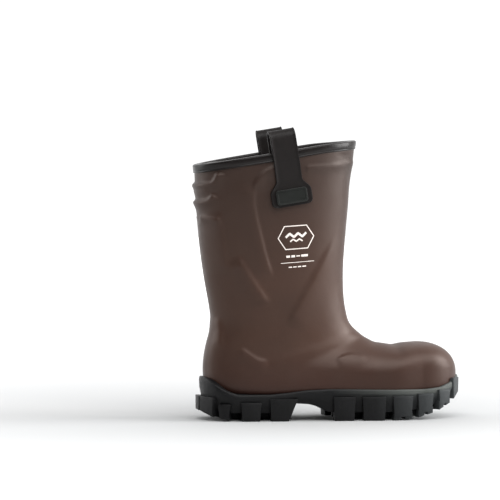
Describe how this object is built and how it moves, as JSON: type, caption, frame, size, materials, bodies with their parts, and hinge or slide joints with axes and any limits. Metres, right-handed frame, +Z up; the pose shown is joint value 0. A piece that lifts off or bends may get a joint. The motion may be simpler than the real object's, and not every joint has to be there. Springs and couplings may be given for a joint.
{
  "type": "steel toe work boot",
  "caption": "Pull-on safety boot for a right foot: moulded shaft and foot, cleated sole, steel toe cap and midsole, two collar pull loops.",
  "frame": {"origin": "on the ground under the middle of the boot's overall box", "axes": "+Z up, +X towards the toe, +Y towards the inner side of a right foot"},
  "size_m": [0.3168, 0.1218, 0.3443],
  "materials": {
    "upper": "satin brown moulded polyurethane",
    "sole": "black moulded sole, satin",
    "binding": "dark brown, semi-gloss",
    "loop": "dark brown, fine grain",
    "anchor": "dark grey, matt",
    "lining": "knitted",
    "steel": "plain steel",
    "strip": "matt foam rubber",
    "board": "pressed fibre board",
    "footbed": "felt over foam"
  },
  "bodies": {
    "boot": {"upper_shell": "upper", "outsole": "sole", "shaft_lining": "lining", "collar_binding": "binding", "toe_cap": "steel", "toe_cap_edge_strip": "strip", "penetration_plate": "steel", "insole_board": "board", "footbed": "footbed", "loop_anchor_lateral": "anchor", "loop_anchor_medial": "anchor", "loop_retainer_lateral": "steel", "loop_retainer_medial": "steel"},
    "lateral_loop": {"pull_loop_lateral": "loop"},
    "medial_loop": {"pull_loop_medial": "loop"}
  },
  "joints": [
    {"name": "lateral_loop_swing", "type": "hinge", "parent": "boot", "child": "lateral_loop", "pos_m": [-0.04917, -0.05242, 0.26386], "axis": [-0.0459, 0.9989, 0], "range_deg": [-12, 12], "stiffness_Nm_per_rad": 0.06},
    {"name": "medial_loop_swing", "type": "hinge", "parent": "boot", "child": "medial_loop", "pos_m": [-0.04917, 0.04804, 0.26386], "axis": [0.0459, 0.9989, 0], "range_deg": [-12, 12], "stiffness_Nm_per_rad": 0.06}
  ]
}
